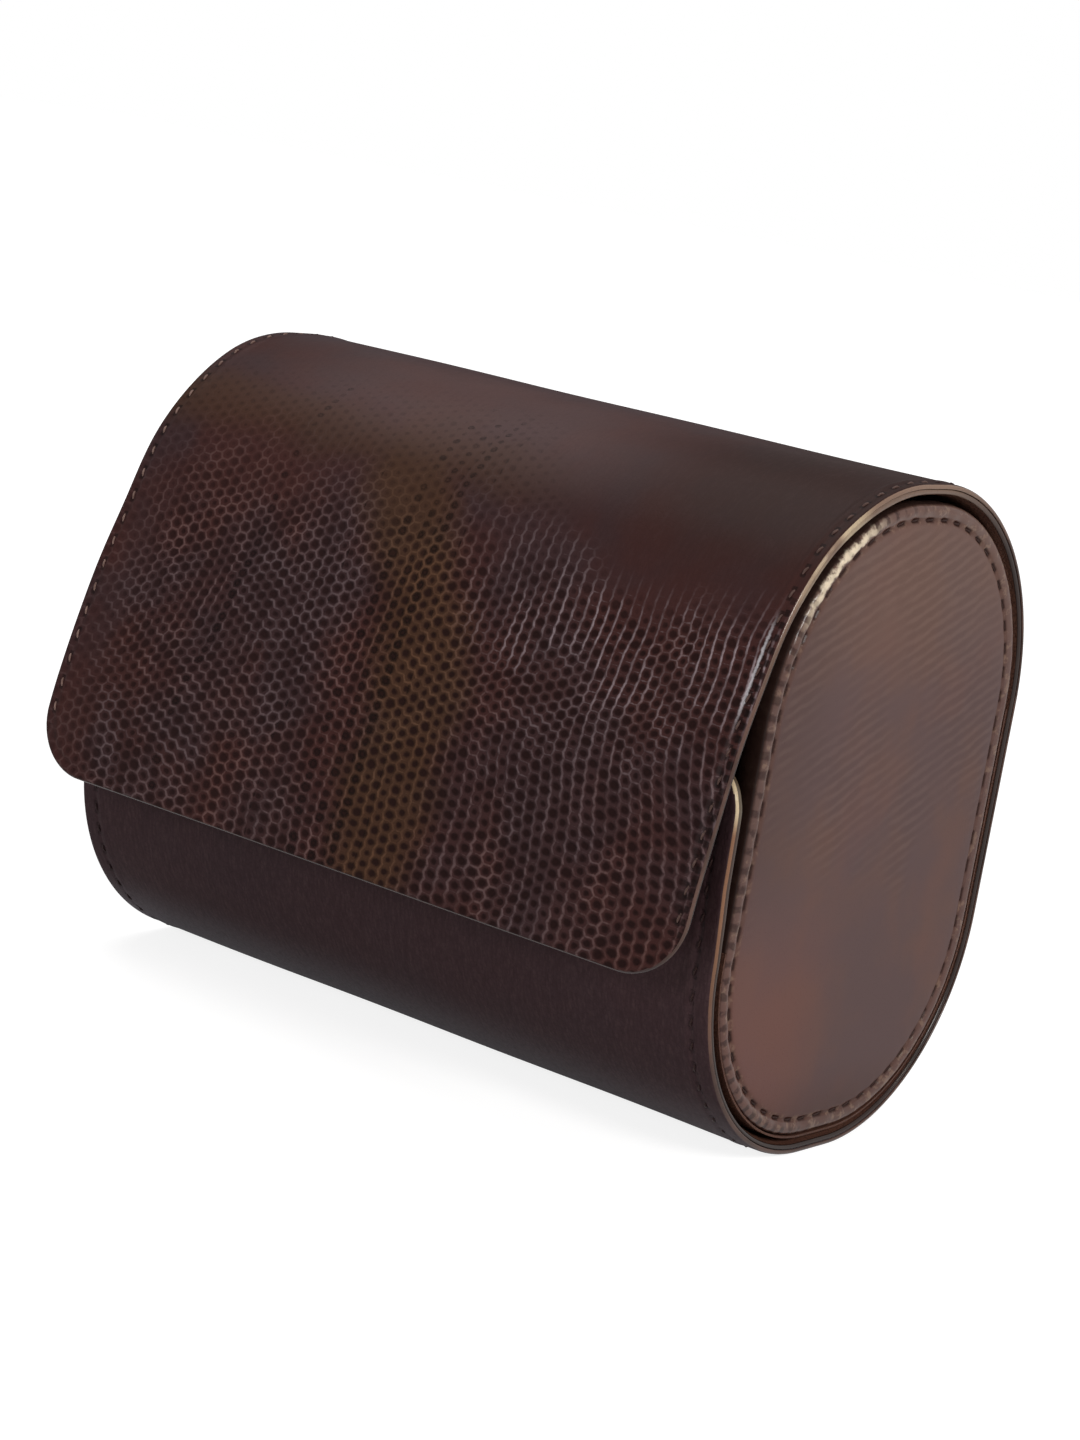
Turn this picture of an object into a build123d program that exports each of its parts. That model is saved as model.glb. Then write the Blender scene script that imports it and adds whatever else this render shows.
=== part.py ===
from build123d import *
from math import asin, cos, degrees, radians, sin
import os

# Leather travel case for two wristwatches, oval in section.
# Millimetres. +X runs along the case, -Y is the front with the flap, +Z is up.
# The origin is the middle of the narrow flat that the case stands on.
# Points of the cross-section are written as (y, z).

# Case, outside
LENGTH = 116.0
DEPTH = 69.0
HEIGHT = 95.0
TOP_FLAT = 4.2
BASE_FLAT = 7.0

# Wall of the case, lid and flap, from the outside in
LEATHER = 0.9
BOARD = 0.5
LINING = 0.3
GLUE = 0.1
BOARD_MARGIN = 1.5

# Front lip of the case, measured down from the flap's fold
LIP_DROP = 12.3
LIP_CORNER = 6.0

# Folds: degrees up the top corners from the horizontal
LID_FOLD_ANGLE = 40.0
FLAP_FOLD_ANGLE = 12.0
FOLD_GAP = 0.6
FOLD_MARGIN = 8.0

# Flap, drawn closed and then swung to where it stands ajar
FLAP_GAP = 2.2
FLAP_SLOPE = 16.0
FLAP_CORNER = 9.0
FLAP_AJAR = 8.2

# Press studs between the lip and the flap, whose tip hangs below them
STUD_SPACING = 64.0
STUD_ABOVE_BASE = 5.0
STUD_ABOVE_TIP = 8.5
STUD_FLANGE_RADIUS = 4.6
STUD_FLANGE = 0.4
STUD_HEAD_RADIUS = 2.0
STUD_REACH = 2.4
STUD_ROUNDING = 0.5
STUD_SHANK_RADIUS = 1.1
STUD_FIT = 0.15
SOCKET_RADIUS = 4.8
SOCKET_PROUD = 1.1
SOCKET_CLEARANCE = 0.4
SOCKET_BACK = 0.2
SOCKET_BED = 0.25

# Tray that slides inside the case
TRAY_GAP = 0.5
TRAY_SKIN = 0.3
TRAY_BOARD = 0.8
TRAY_LINING = 0.3
TRAY_FRONT_ABOVE_BASE = 1.0
TRAY_BACK_BELOW_TOP = 0.6

# Oval ends of the tray, from the outside in
END_RECESS = 0.2
END_COVER = 1.0
END_BOARD = 1.5
END_FACING = 0.4
END_ROUNDING = 0.6

# Divider between the two watch bays
DIVIDER_BOARD = 1.0
DIVIDER_FACING = 0.4
DIVIDER_HEIGHT = 72.0
DIVIDER_CORNER = 20.0

# Watch cushions
CUSHION_HEIGHT = 68.0
CUSHION_DEPTH = 42.0
CUSHION_COVER = 0.8
CUSHION_SIDE_GAP = 2.0
SEAT_GAP = 0.3

# Depths from the outer surface to each layer
BOARD_INSET = LEATHER + GLUE
LINING_INSET = BOARD_INSET + BOARD + GLUE
WALL = LINING_INSET + LINING
SKIN_INSET = WALL + TRAY_GAP
END_INSET = SKIN_INSET + TRAY_SKIN + GLUE
TRAY_LINING_INSET = END_INSET + TRAY_BOARD + GLUE
TRAY_INNER_INSET = TRAY_LINING_INSET + TRAY_LINING

# Places along the case
TRAY_LENGTH = LENGTH - 2 * END_RECESS
END_BOARD_X = TRAY_LENGTH / 2 - END_COVER - GLUE
END_FACING_X = END_BOARD_X - END_BOARD - GLUE
BAY_OUTER_X = END_FACING_X - END_FACING
DIVIDER_FACING_X = DIVIDER_BOARD / 2 + GLUE
BAY_INNER_X = DIVIDER_FACING_X + DIVIDER_FACING
CUSHION_LENGTH = BAY_OUTER_X - BAY_INNER_X - 2 * CUSHION_SIDE_GAP
CUSHION_X = (BAY_OUTER_X + BAY_INNER_X) / 2

# Longer than the case in every direction, for cutting tools
REACH = LENGTH + DEPTH + HEIGHT


def polar(degrees, distance=1.0):
    """A step of the given length in the cross-section, turning from +Y towards +Z."""
    return Vector(cos(radians(degrees)), sin(radians(degrees))) * distance


# Rounded corners of the oval, and the two folds on its outer surface
TOP_RADIUS = (DEPTH - TOP_FLAT) / 2
BASE_RADIUS = (DEPTH - BASE_FLAT) / 2
FRONT_TOP = Vector(TOP_RADIUS - DEPTH / 2, HEIGHT - TOP_RADIUS)
BACK_TOP = Vector(DEPTH / 2 - TOP_RADIUS, HEIGHT - TOP_RADIUS)
BACK_BASE = Vector(DEPTH / 2 - BASE_RADIUS, BASE_RADIUS)
FLAP_RAY = 180 - FLAP_FOLD_ANGLE
LID_RAY = LID_FOLD_ANGLE
FLAP_FOLD = FRONT_TOP + polar(FLAP_RAY, TOP_RADIUS)
LID_FOLD = BACK_TOP + polar(LID_RAY, TOP_RADIUS)

# The closed flap slopes out from its fold and bows until it hangs clear of the lip
FLAP_FRONT = -DEPTH / 2 - FLAP_GAP - WALL
BOW_RAY = 180 - FLAP_SLOPE
BOW_RADIUS = (FLAP_FOLD.X - FLAP_FRONT) / (1 - cos(radians(FLAP_SLOPE)))
BOW_CENTRE = FLAP_FOLD - polar(BOW_RAY, BOW_RADIUS)
LIP_HEIGHT = FLAP_FOLD.Y - LIP_DROP

# The studs stand on the flat front, just above the rounded base
STUD_HEIGHT = BASE_RADIUS + STUD_ABOVE_BASE
FLAP_TIP_HEIGHT = STUD_HEIGHT - STUD_ABOVE_TIP
SOCKET_HEIGHT = min(STUD_HEIGHT, BOW_CENTRE.Y)
SOCKET_TILT = degrees(asin((STUD_HEIGHT - SOCKET_HEIGHT) / BOW_RADIUS))


def outline(inset):
    """Oval cross-section of the case, moved in from its outer surface."""
    oval = Pos(0, HEIGHT / 2) * Rectangle(DEPTH - 2 * inset, HEIGHT - 2 * inset)
    oval = fillet(oval.vertices().group_by(Axis.Y)[-1], TOP_RADIUS - inset)
    return fillet(oval.vertices().group_by(Axis.Y)[0], BASE_RADIUS - inset)


def prism(section, length):
    """A cross-section drawn out along the case, equally both ways."""
    return extrude(Plane.YZ * section, length / 2, both=True)


def slab(section, start, thickness):
    """A cross-section drawn out towards +X from a place along the case."""
    return extrude(Plane.YZ.offset(start) * section, thickness)


def area(*points):
    """Closed polygon in the cross-section."""
    return make_face(Polyline(*points, close=True))


def case_area(setback, lip_height):
    """The part of the cross-section that the fixed wall of the case may fill."""
    edge = BACK_TOP - polar(LID_RAY + 90, setback)
    return area(
        (-REACH, lip_height),
        (0, lip_height),
        edge,
        edge + polar(LID_RAY, REACH),
        (REACH, -REACH),
        (-REACH, -REACH),
    )


def lid_area(setback):
    """The part of the cross-section between the two folds, over the top."""
    back = BACK_TOP + polar(LID_RAY + 90, setback)
    front = FRONT_TOP + polar(FLAP_RAY - 90, setback)
    return area(
        back,
        back + polar(LID_RAY, REACH),
        (REACH, 2 * REACH),
        (-REACH, 2 * REACH),
        front + polar(FLAP_RAY, REACH),
        front,
    )


def flap_area(setback):
    """The part of the cross-section below the flap's fold, at the front."""
    fold = FLAP_FOLD - polar(BOW_RAY - 90, setback)
    return area(
        fold - polar(BOW_RAY, TOP_RADIUS),
        fold + polar(BOW_RAY, REACH),
        (-REACH, -REACH),
        (FRONT_TOP.X, -REACH),
    )


def bow(inset):
    """Everything behind the closed flap's outer face, moved in by an inset."""
    radius = BOW_RADIUS - inset
    below = Pos(BOW_CENTRE.X, BOW_CENTRE.Y - REACH / 2) * Rectangle(2 * radius, REACH)
    return Pos(BOW_CENTRE.X, BOW_CENTRE.Y) * Circle(radius) + below


def case_wall(outer, inner, margin, setback):
    """One layer of the fixed wall: front lip, base and back."""
    section = (outline(outer) - outline(inner)) & case_area(setback, LIP_HEIGHT - margin)
    wall = prism(section, LENGTH - 2 * margin)
    lip_ends = wall.edges().filter_by(Axis.Y).filter_by_position(Axis.Y, -REACH, 0)
    return fillet(lip_ends.group_by(Axis.Z)[-1], LIP_CORNER - margin)


def lid_wall(outer, inner, margin, setback):
    """One layer of the lid, over the top of the case."""
    section = (outline(outer) - outline(inner)) & lid_area(setback)
    return prism(section, LENGTH - 2 * margin)


def flap_wall(outer, inner, margin, setback):
    """One layer of the closed flap."""
    section = (bow(outer) - bow(inner)) & flap_area(setback)
    card = RectangleRounded(LENGTH - 2 * margin, REACH, FLAP_CORNER - margin)
    front_view = Plane.XZ * Pos(0, FLAP_TIP_HEIGHT + margin + REACH / 2) * card
    return prism(section, LENGTH) & extrude(front_view, REACH, both=True)


def swing_ajar(closed):
    """Turn a piece of the closed flap outwards about the flap's fold."""
    fold = Axis((0, FLAP_FOLD.X, FLAP_FOLD.Y), (-1, 0, 0))
    return closed.rotate(fold, FLAP_AJAR)


def stud_discs(radius, outer_y, inner_y):
    """A pair of round pieces on the two press-stud centres, between two depths."""
    disc = Rot(X=90) * Cylinder(radius, inner_y - outer_y)
    middle = (outer_y + inner_y) / 2
    places = [Pos(side * STUD_SPACING / 2, middle, STUD_HEIGHT) for side in (-1, 1)]
    return Part() + [place * disc for place in places]


def socket_discs(radius, outer_y, inner_y):
    """A pair of round pieces in the closed flap, square to its wall over the studs."""
    flat = Pos(0, 0, SOCKET_HEIGHT - STUD_HEIGHT) * stud_discs(radius, outer_y, inner_y)
    return flat.rotate(Axis((0, BOW_CENTRE.X, BOW_CENTRE.Y), (-1, 0, 0)), SOCKET_TILT)


def make_case():
    """Fixed wall with the studs that the flap closes on."""
    front = -DEPTH / 2
    shank_end = front + BOARD_INSET
    shank_holes = stud_discs(STUD_SHANK_RADIUS + STUD_FIT, front - LEATHER, shank_end)
    back_holes = stud_discs(STUD_FLANGE_RADIUS + STUD_FIT, shank_end - GLUE, front + LINING_INSET)
    heads = stud_discs(STUD_HEAD_RADIUS, front - STUD_REACH, front)
    tips = heads.edges().filter_by(GeomType.CIRCLE).group_by(Axis.Y)[0]
    studs = fillet(tips, STUD_ROUNDING)
    studs += stud_discs(STUD_FLANGE_RADIUS, front - STUD_FLANGE, front)
    studs += stud_discs(STUD_SHANK_RADIUS, front, shank_end)
    return {
        "case_leather": case_wall(0, LEATHER, 0, FOLD_GAP / 2) - shank_holes,
        "case_board": case_wall(BOARD_INSET, BOARD_INSET + BOARD, BOARD_MARGIN, FOLD_MARGIN) - back_holes,
        "case_lining": case_wall(LINING_INSET, WALL, 0, FOLD_GAP / 2),
        "press_studs": studs,
        "stud_backs": stud_discs(STUD_FLANGE_RADIUS, shank_end, shank_end + BOARD),
    }


def make_lid():
    """Curved top of the case, folding at the back."""
    return {
        "lid_leather": lid_wall(0, LEATHER, 0, FOLD_GAP / 2),
        "lid_board": lid_wall(BOARD_INSET, BOARD_INSET + BOARD, BOARD_MARGIN, FOLD_MARGIN),
        "lid_lining": lid_wall(LINING_INSET, WALL, 0, FOLD_GAP / 2),
    }


def make_flap():
    """Front flap with the sockets that take the studs, standing ajar."""
    back_start = FLAP_FRONT + LEATHER + SOCKET_BED
    ring_start = back_start + SOCKET_BACK + GLUE
    ring_end = FLAP_FRONT + WALL + SOCKET_PROUD
    mouths = socket_discs(STUD_HEAD_RADIUS + SOCKET_CLEARANCE, ring_start, ring_end)
    holes = socket_discs(SOCKET_RADIUS + STUD_FIT, FLAP_FRONT + LEATHER, ring_end)
    board = flap_wall(BOARD_INSET, BOARD_INSET + BOARD, BOARD_MARGIN, FOLD_MARGIN)
    closed = {
        "flap_leather": flap_wall(0, LEATHER, 0, FOLD_GAP / 2),
        "flap_board": board - holes,
        "flap_lining": flap_wall(LINING_INSET, WALL, 0, FOLD_GAP / 2) - holes,
        "snap_sockets": socket_discs(SOCKET_RADIUS, ring_start, ring_end) - mouths,
        "socket_backs": socket_discs(SOCKET_RADIUS, back_start, back_start + SOCKET_BACK),
    }
    return {node: swing_ajar(piece) for node, piece in closed.items()}


def make_trough():
    """Curved floor and back of the tray, open to the front and the top."""
    front_height = BASE_RADIUS + TRAY_FRONT_ABOVE_BASE
    back_height = BACK_TOP.Y - TRAY_BACK_BELOW_TOP
    front = area((-REACH, front_height), (0, front_height), (0, -REACH), (-REACH, -REACH))
    back = area((0, back_height), (REACH, back_height), (REACH, -REACH), (0, -REACH))
    layers = {
        "tray_skin": (SKIN_INSET, SKIN_INSET + TRAY_SKIN, TRAY_LENGTH),
        "tray_board": (END_INSET, END_INSET + TRAY_BOARD, 2 * BAY_OUTER_X),
        "tray_lining": (TRAY_LINING_INSET, TRAY_INNER_INSET, 2 * BAY_OUTER_X),
    }
    pieces = {}
    for node, (outer, inner, length) in layers.items():
        section = (outline(outer) - outline(inner)) & (front + back)
        pieces[node] = prism(section, length)
    return pieces


def make_end(side, name):
    """One oval end of the tray; side is 1 at +X and -1 at -X."""
    panel = outline(END_INSET)
    cover = slab(panel, TRAY_LENGTH / 2 - END_COVER, END_COVER)
    cover = fillet(cover.faces().sort_by(Axis.X)[-1].edges(), END_ROUNDING)
    pieces = {
        f"{name}_end_cover": cover,
        f"{name}_end_board": slab(panel, END_BOARD_X - END_BOARD, END_BOARD),
        f"{name}_end_facing": slab(panel, BAY_OUTER_X, END_FACING),
    }
    if side > 0:
        return pieces
    return {node: piece.mirror(Plane.YZ) for node, piece in pieces.items()}


def make_divider():
    """Upright wall between the watch bays, standing in the trough."""
    card = RectangleRounded(DEPTH - 2 * TRAY_INNER_INSET, REACH, DIVIDER_CORNER)
    wall = outline(TRAY_INNER_INSET + GLUE) & Pos(0, DIVIDER_HEIGHT - REACH / 2) * card
    facing = slab(wall, DIVIDER_FACING_X, DIVIDER_FACING)
    return {
        "divider_board": prism(wall, DIVIDER_BOARD),
        "left_divider_facing": facing.mirror(Plane.YZ),
        "right_divider_facing": facing,
    }


def make_cushion(side, name):
    """One watch cushion, lying in the corner of the trough."""
    seat = BASE_RADIUS - TRAY_INNER_INSET - SEAT_GAP - CUSHION_DEPTH / 2
    middle = BACK_BASE + polar(-45, seat) + Vector(0, (CUSHION_HEIGHT - CUSHION_DEPTH) / 2)

    def oval(inset):
        slot = SlotOverall(CUSHION_HEIGHT - 2 * inset, CUSHION_DEPTH - 2 * inset, rotation=90)
        return Pos(middle.X, middle.Y) * slot

    start = side * CUSHION_X - CUSHION_LENGTH / 2
    filling = oval(CUSHION_COVER + GLUE)
    core_start = start + CUSHION_COVER + GLUE
    far_side = start + CUSHION_LENGTH - CUSHION_COVER
    return {
        f"{name}_cushion_band": slab(oval(0) - oval(CUSHION_COVER), start, CUSHION_LENGTH),
        f"{name}_cushion_core": slab(filling, core_start, far_side - GLUE - core_start),
        f"{name}_cushion_sides": slab(filling, start, CUSHION_COVER) + slab(filling, far_side, CUSHION_COVER),
    }


pieces = {**make_case(), **make_lid(), **make_flap(), **make_trough(), **make_divider()}
for side, name in ((-1, "left"), (1, "right")):
    pieces.update(make_end(side, name))
    pieces.update(make_cushion(side, name))

os.makedirs("parts", exist_ok=True)
for node, piece in pieces.items():
    export_step(piece, f"parts/{node}.step")
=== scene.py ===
from functools import partialmethod
import math

import bmesh
import bpy
import numpy as np
from mathutils import Matrix, Vector

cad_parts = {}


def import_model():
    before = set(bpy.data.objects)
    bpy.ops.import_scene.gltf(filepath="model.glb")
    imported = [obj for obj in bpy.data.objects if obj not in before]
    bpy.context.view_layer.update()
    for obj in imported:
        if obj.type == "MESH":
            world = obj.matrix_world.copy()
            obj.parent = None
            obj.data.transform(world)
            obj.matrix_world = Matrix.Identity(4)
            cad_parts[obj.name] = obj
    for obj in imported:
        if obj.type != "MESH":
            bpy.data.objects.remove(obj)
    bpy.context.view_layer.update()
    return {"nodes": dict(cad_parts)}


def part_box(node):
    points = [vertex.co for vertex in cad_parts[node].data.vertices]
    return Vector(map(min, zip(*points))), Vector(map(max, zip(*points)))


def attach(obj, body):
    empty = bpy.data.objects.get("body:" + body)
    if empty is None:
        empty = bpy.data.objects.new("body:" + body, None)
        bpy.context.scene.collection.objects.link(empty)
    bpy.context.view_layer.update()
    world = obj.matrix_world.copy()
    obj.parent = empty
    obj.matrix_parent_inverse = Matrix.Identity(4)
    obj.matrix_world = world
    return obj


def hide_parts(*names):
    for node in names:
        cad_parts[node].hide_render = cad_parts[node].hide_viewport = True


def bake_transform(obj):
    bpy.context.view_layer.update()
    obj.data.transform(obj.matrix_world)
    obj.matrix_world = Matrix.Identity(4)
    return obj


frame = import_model()

# Lengths are in millimetres until a mesh is made. The wrap has x along the case, s round the section from
# the middle of the top, negative to the back, and depth under its outer surface.
MM = 0.001
ROOT3 = math.sqrt(3)

# ------ section of the case, (y, z)
HALF_LENGTH = 58
DEPTH, HEIGHT = 69, 95
TOP_RADIUS, BASE_RADIUS = 32.4, 31
TOP_Y = DEPTH / 2 - TOP_RADIUS
BASE_Y = DEPTH / 2 - BASE_RADIUS
TOP_Z = HEIGHT - TOP_RADIUS
# the folds, in degrees round the top corners, the flap's slope at its fold and how far it stands ajar
LID_RAY, FLAP_RAY, FLAP_SLOPE, FLAP_AJAR = 40, 168, 16, 8.2
FLAP_FRONT, FLAP_TIP = -38.6, 27.5
LIP_HEIGHT = 57.04
LIP_CORNER, FLAP_CORNER = 6, 9
# the layers, as depths under the outer surface
LEATHER, BOARD_FACE, BOARD_BACK, LINING_FACE, WALL = 0.9, 1, 1.5, 1.6, 1.9

# rim seams: inset on the flap and on the body, spacing, and each stitch's share of it
RIM_SEAM, BODY_SEAM = 1.5, 2.9
STITCH_PITCH, STITCH_FROM, STITCH_TO = 3.7, 0.2, 0.62

# steps between points of the section, how the flap's fold is eased, and the points kept at both ends
FINE, PATH_STEP = 0.05, 0.1
FOLD_EASE, FOLD_POINTS, FOLD_REACH, HELD_POINTS = 3, 90, 9, 100

# how far the soft wrap stands off at its left and right rims, by place round the section
RIM_RUN = (14, 20, 24, 28, 32, 36, 40, 44, 48, 52, 56, 60, 64, 68, 72, 76, 80, 89)
RIM_LEFT = (0, -0.4, -0.6, -0.7, -0.7, -0.6, -0.5, -0.4, -0.2, -0.1, 0, 0, 0, 0.1, 0.2, 0.4, 0.5, 0.6)
RIM_RIGHT = (0, 0, 0.3, 0.5, 0.5, 0.7, 0.9, 1, 1, 0.9, 0.6, 0.3, -0.1, -0.3, -0.4, -0.3, -0.4, -0.4)
RIM_STEP, RIM_EASE, RIM_POINTS = 0.5, 2.5, 24
RIM_FROM, LIP_LEAN_FROM = 18, 50
# the same at the lip's right end, by distance from its edge, and how thin the sewn rims are pressed
LIP_REACH = (0, 4, 8, 12, 16, 20, 26, 34)
LIP_LEAN = (1.15, 1.6, 1.35, 1.25, 1.15, 0.7, 0.1, 0)
PRESS_RUN = (-215, -195, -180, -160, 0, 12, 34, 44, 60, 89)
PRESSED = (0, 0, 0.3, 0.5, 0.4, 0.1, 0.25, 0.7, 0.75, 0.8)


def polar(degrees, radius):
    """Vectors in the section, by their angle up from +Y."""
    ray = np.radians(degrees)
    return radius * np.stack([np.cos(ray), np.sin(ray)], -1)


def arc(centre, radius, start, end):
    """Points of an arc, from one angle to another."""
    count = int(abs(math.radians(end - start)) * radius / FINE) + 2
    return centre + polar(np.linspace(start, end, count), radius)


def line(start, end):
    """Points of a straight stretch."""
    return np.linspace(start, end, int(math.dist(start, end) / FINE) + 2)


def run_along(points):
    """How far each point lies along its path."""
    return np.concatenate([[0], np.cumsum(np.hypot(*np.diff(points, axis=0).T))])


def join(*stretches):
    """One path from stretches that meet, each point once."""
    points = np.concatenate(stretches)
    apart = np.hypot(*np.diff(points, axis=0).T) > 1e-6
    return points[np.append(True, apart)]


def at_run(places, run, values):
    """Points of a path, or its normals, at places along its run."""
    return np.stack([np.interp(places, run, values[:, k]) for k in (0, 1)], -1)


def unit(vectors):
    """Vectors at length one."""
    return vectors / np.linalg.norm(vectors, axis=1)[:, None]


def outward(path):
    """Unit normals on the right of a path."""
    tangent = np.gradient(path, axis=0)
    return unit(np.stack([tangent[:, 1], -tangent[:, 0]], 1))


def blurred(values, step, ease, points):
    """Values at even steps, smoothed by a bell over some points on each side."""
    bell = np.exp(-(np.arange(-points, points + 1) * step / ease) ** 2 / 2)
    return np.convolve(np.pad(values, points, "edge"), bell / bell.sum(), "valid")


def ramp(value, low, high):
    """0 below low, 1 above high, eased between."""
    share = np.clip((value - low) / (high - low), 0, 1)
    return share * share * (3 - 2 * share)


FLAP_FOLD = np.array([-TOP_Y, TOP_Z]) + polar(FLAP_RAY, TOP_RADIUS)
LID_FOLD = np.array([TOP_Y, TOP_Z]) + polar(LID_RAY, TOP_RADIUS)
# what the wrap and the oval ends share
BASE_BACK_TOP = join(
    arc((BASE_Y, BASE_RADIUS), BASE_RADIUS, 270, 360),
    line((DEPTH / 2, BASE_RADIUS), (DEPTH / 2, TOP_Z)),
    arc((TOP_Y, TOP_Z), TOP_RADIUS, 0, 90),
    line((TOP_Y, HEIGHT), (-TOP_Y, HEIGHT)),
)


def wrap_path():
    """The outer surface from the lip, under the case, up the back, over the top and down the flap."""
    bow_radius = (FLAP_FOLD[0] - FLAP_FRONT) / (1 - math.cos(math.radians(FLAP_SLOPE)))
    bow_centre = FLAP_FOLD - polar(180 - FLAP_SLOPE, bow_radius)
    flap = np.concatenate([
        arc(bow_centre, bow_radius, 180 - FLAP_SLOPE, 180),
        line((FLAP_FRONT, bow_centre[1]), (FLAP_FRONT, FLAP_TIP)),
    ])
    swing = math.radians(-FLAP_AJAR)
    turn = np.array([[math.cos(swing), math.sin(swing)], [-math.sin(swing), math.cos(swing)]])
    return join(
        line((-DEPTH / 2, LIP_HEIGHT), (-DEPTH / 2, BASE_RADIUS)),
        arc((-BASE_Y, BASE_RADIUS), BASE_RADIUS, 180, 270),
        BASE_BACK_TOP,
        arc((-TOP_Y, TOP_Z), TOP_RADIUS, 90, FLAP_RAY),
        (flap - FLAP_FOLD) @ turn + FLAP_FOLD,
    )


def soft_path():
    """The wrap's run, points and normals at even steps, with the flap's fold eased."""
    points = wrap_path()
    run = run_along(points)
    even = np.append(np.arange(0, run[-1], PATH_STEP), run[-1])
    path = at_run(even, run, points)
    at_fold = even[np.argmin(np.hypot(*(path - FLAP_FOLD).T))]
    eased = np.stack([blurred(path[:, k], PATH_STEP, FOLD_EASE, FOLD_POINTS) for k in (0, 1)], 1)
    share = np.exp(-((even - at_fold) / FOLD_REACH) ** 4)[:, None]
    share[:HELD_POINTS] = share[-HELD_POINTS:] = 0
    path = path * (1 - share) + eased * share
    run = run_along(path)
    on_top = path[:, 1] > HEIGHT / 2
    middle = run[np.argmin(np.where(on_top, np.abs(path[:, 0]), HEIGHT))]
    return run - middle, path, outward(path)


RUN, PATH, NORMAL = soft_path()
LIP_RUN, TIP_RUN = RUN[0], RUN[-1]
SOFT_RUN = np.arange(-20, 110, RIM_STEP)
SOFT_LEFT, SOFT_RIGHT = (
    blurred(np.interp(SOFT_RUN, RIM_RUN, values), RIM_STEP, RIM_EASE, RIM_POINTS)
    for values in (RIM_LEFT, RIM_RIGHT))


def stand_off(x, s):
    """Outward lean of the flexible wrap: a bowed flap rim and a sprung lip."""
    right, left = ramp(x, RIM_FROM, HALF_LENGTH), ramp(-x, RIM_FROM, HALF_LENGTH)
    front = left * np.interp(s, SOFT_RUN, SOFT_LEFT) + right * np.interp(s, SOFT_RUN, SOFT_RIGHT)
    return front + ramp(x, LIP_LEAN_FROM, HALF_LENGTH) * np.interp(s - LIP_RUN, LIP_REACH, LIP_LEAN)


def place(x, s, depth):
    """Points of the wrap from x, s and depth."""
    x, s, depth = np.broadcast_arrays(x, s, depth)
    depth = (depth - stand_off(x, s))[..., None]
    return np.concatenate([x[..., None], at_run(s, RUN, PATH) - depth * at_run(s, RUN, NORMAL)], -1)


# ------ nodes
def feed(value, socket):
    """Link a field or an output to an input, or set the input to a plain value."""
    value = getattr(value, "socket", value)
    if isinstance(value, bpy.types.NodeSocket):
        socket.id_data.links.new(value, socket)
    else:
        socket.default_value = value


def configure(thing, settings):
    """A thing with its attributes set."""
    for name, value in settings.items():
        setattr(thing, name, value)
    return thing


def add_node(tree, kind, inputs=(), **settings):
    """A shader node with its settings and what goes into its inputs."""
    node = configure(tree.nodes.new("ShaderNode" + kind), settings)
    for key, value in dict(inputs).items():
        feed(value, node.inputs[key])
    return node


class Field:
    """A socket that plain arithmetic can be written with."""

    def __init__(self, socket):
        self.socket = socket

    def math(self, operation, *others):
        """The result of a math node on this field and others."""
        node = add_node(self.socket.id_data, "Math", enumerate((self, *others)), operation=operation)
        return Field(node.outputs[0])

    __add__ = __radd__ = partialmethod(math, "ADD")
    __sub__ = partialmethod(math, "SUBTRACT")
    __mul__ = __rmul__ = partialmethod(math, "MULTIPLY")
    __truediv__ = partialmethod(math, "DIVIDE")
    mod = partialmethod(math, "FLOORED_MODULO")
    abs = partialmethod(math, "ABSOLUTE")
    max = partialmethod(math, "MAXIMUM")
    min = partialmethod(math, "MINIMUM")
    root = partialmethod(math, "SQRT")

    def __rsub__(self, other):
        return (self * -1) + other

    def ease(self, low, high):
        """0 below low, 1 above high (or the other way round), eased between."""
        start, end = (1, 0) if low > high else (0, 1)
        low, high = sorted((low, high))
        inputs = {"Value": self, "From Min": low, "From Max": high, "To Min": start, "To Max": end}
        node = add_node(self.socket.id_data, "MapRange", inputs, interpolation_type="SMOOTHSTEP")
        return Field(node.outputs["Result"])


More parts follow.
